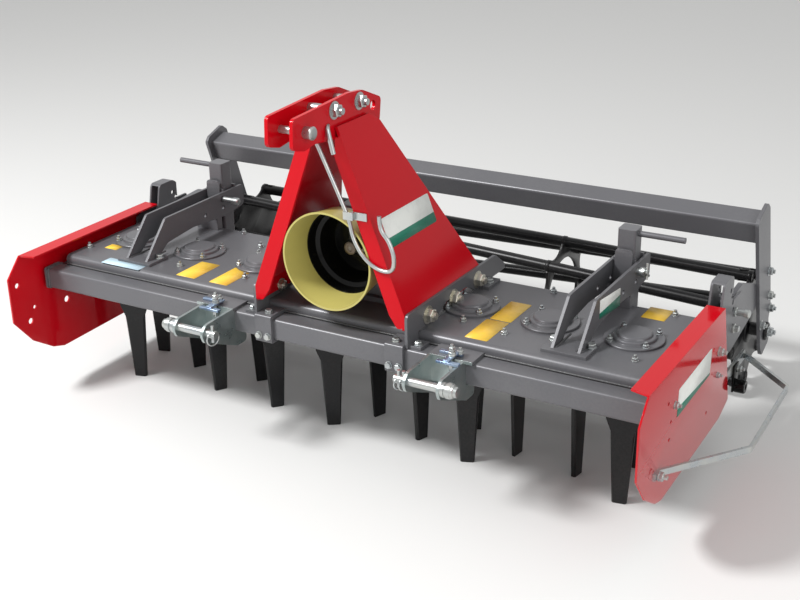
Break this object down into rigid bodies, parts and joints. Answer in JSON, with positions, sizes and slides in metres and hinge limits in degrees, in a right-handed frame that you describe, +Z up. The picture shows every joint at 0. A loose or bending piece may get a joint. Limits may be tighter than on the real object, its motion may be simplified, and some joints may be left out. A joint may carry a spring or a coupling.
{
  "type": "power harrow",
  "caption": "Power harrow for a three-point hitch with a row of geared vertical rotors, tower, side plates and a cage roller on a pivoting frame.",
  "frame": {"origin": "on the floor, under the middle of the machine's bounding box", "axes": "+Z up, +Y rearwards against the direction of travel, +X along the machine's width"},
  "size_m": [2.06, 1.3328, 0.9979],
  "materials": {
    "grey_paint": "satin",
    "black_paint": "satin",
    "red_paint": "gloss",
    "zinc": "zinc plated",
    "steel": "machined",
    "yellow_plastic": "moulded",
    "black_plastic": "moulded"
  },
  "bodies": {
    "frame": {"trough": "grey_paint", "gear_mass": "steel", "bearing_housings": "black_paint", "rotor_covers": "grey_paint", "front_beam": "grey_paint", "side_plate_right": "red_paint", "side_plate_left": "red_paint", "side_carriers": "grey_paint", "guard_bar": "zinc", "level_arms_right": "grey_paint", "level_arms_left": "grey_paint", "sector_brackets": "grey_paint", "tower_panel_right": "red_paint", "tower_panel_left": "red_paint", "top_link_bracket": "red_paint", "top_link_pins": "zinc", "base_plate_right": "grey_paint", "base_plate_left": "grey_paint", "beam_clamps": "grey_paint", "lower_bracket_right": "zinc", "lower_bracket_left": "zinc", "lower_link_pins": "zinc", "gearbox": "grey_paint", "shield_cup": "black_plastic", "drive_shield": "yellow_plastic", "hook_rod": "zinc", "rod_holder": "zinc"},
    "rotor_1": {"rotor_1_carrier": "black_paint", "rotor_1_tines": "black_paint"},
    "rotor_2": {"rotor_2_carrier": "black_paint", "rotor_2_tines": "black_paint"},
    "rotor_3": {"rotor_3_carrier": "black_paint", "rotor_3_tines": "black_paint"},
    "rotor_4": {"rotor_4_carrier": "black_paint", "rotor_4_tines": "black_paint"},
    "rotor_5": {"rotor_5_carrier": "black_paint", "rotor_5_tines": "black_paint"},
    "rotor_6": {"rotor_6_carrier": "black_paint", "rotor_6_tines": "black_paint"},
    "rotor_7": {"rotor_7_carrier": "black_paint", "rotor_7_tines": "black_paint"},
    "rotor_8": {"rotor_8_carrier": "black_paint", "rotor_8_tines": "black_paint"},
    "level_assembly": {"level_tubes": "grey_paint", "level_bar": "grey_paint"},
    "roller_frame": {"roller_arms": "grey_paint", "roller_end_plates": "grey_paint", "rear_beam": "grey_paint"},
    "roller": {"roller_bars": "black_paint", "roller_discs": "black_paint"},
    "input": {"input_shaft": "steel"}
  },
  "joints": [
    {"name": "rotor_1_spin", "type": "hinge", "parent": "frame", "child": "rotor_1", "pos_m": [-0.86846, -0.22901, 0.26], "axis": [0, 0, 1], "continuous": true},
    {"name": "rotor_2_spin", "type": "hinge", "parent": "frame", "child": "rotor_2", "pos_m": [-0.64346, -0.22901, 0.26], "axis": [0, 0, 1], "continuous": true},
    {"name": "rotor_3_spin", "type": "hinge", "parent": "frame", "child": "rotor_3", "pos_m": [-0.41846, -0.22901, 0.26], "axis": [0, 0, 1], "continuous": true},
    {"name": "rotor_4_spin", "type": "hinge", "parent": "frame", "child": "rotor_4", "pos_m": [-0.19346, -0.22901, 0.26], "axis": [0, 0, 1], "continuous": true},
    {"name": "rotor_5_spin", "type": "hinge", "parent": "frame", "child": "rotor_5", "pos_m": [0.03154, -0.22901, 0.26], "axis": [0, 0, 1], "continuous": true},
    {"name": "rotor_6_spin", "type": "hinge", "parent": "frame", "child": "rotor_6", "pos_m": [0.25654, -0.22901, 0.26], "axis": [0, 0, 1], "continuous": true},
    {"name": "rotor_7_spin", "type": "hinge", "parent": "frame", "child": "rotor_7", "pos_m": [0.48154, -0.22901, 0.26], "axis": [0, 0, 1], "continuous": true},
    {"name": "rotor_8_spin", "type": "hinge", "parent": "frame", "child": "rotor_8", "pos_m": [0.70654, -0.22901, 0.26], "axis": [0, 0, 1], "continuous": true},
    {"name": "input_spin", "type": "hinge", "parent": "frame", "child": "input", "pos_m": [-0.02296, -0.31901, 0.575], "axis": [0, 1, 0], "continuous": true},
    {"name": "level_slide", "type": "slide", "parent": "frame", "child": "level_assembly", "axis": [0, 0, 1], "range_m": [-0.04, 0.12]},
    {"name": "roller_frame_hinge", "type": "hinge", "parent": "frame", "child": "roller_frame", "pos_m": [-0.08096, -0.06901, 0.35], "axis": [1, 0, 0], "range_deg": [-10, 12]},
    {"name": "roller_spin", "type": "hinge", "parent": "roller_frame", "child": "roller", "pos_m": [-0.08096, 0.48299, 0.186], "axis": [1, 0, 0], "continuous": true}
  ],
  "couplings": [
    {"joint": "rotor_2_spin", "follows": "rotor_1_spin", "ratio": -1},
    {"joint": "rotor_3_spin", "follows": "rotor_1_spin", "ratio": 1},
    {"joint": "rotor_4_spin", "follows": "rotor_1_spin", "ratio": -1},
    {"joint": "rotor_5_spin", "follows": "rotor_1_spin", "ratio": 1},
    {"joint": "rotor_6_spin", "follows": "rotor_1_spin", "ratio": -1},
    {"joint": "rotor_7_spin", "follows": "rotor_1_spin", "ratio": 1},
    {"joint": "rotor_8_spin", "follows": "rotor_1_spin", "ratio": -1},
    {"joint": "input_spin", "follows": "rotor_1_spin", "ratio": 1.8}
  ]
}
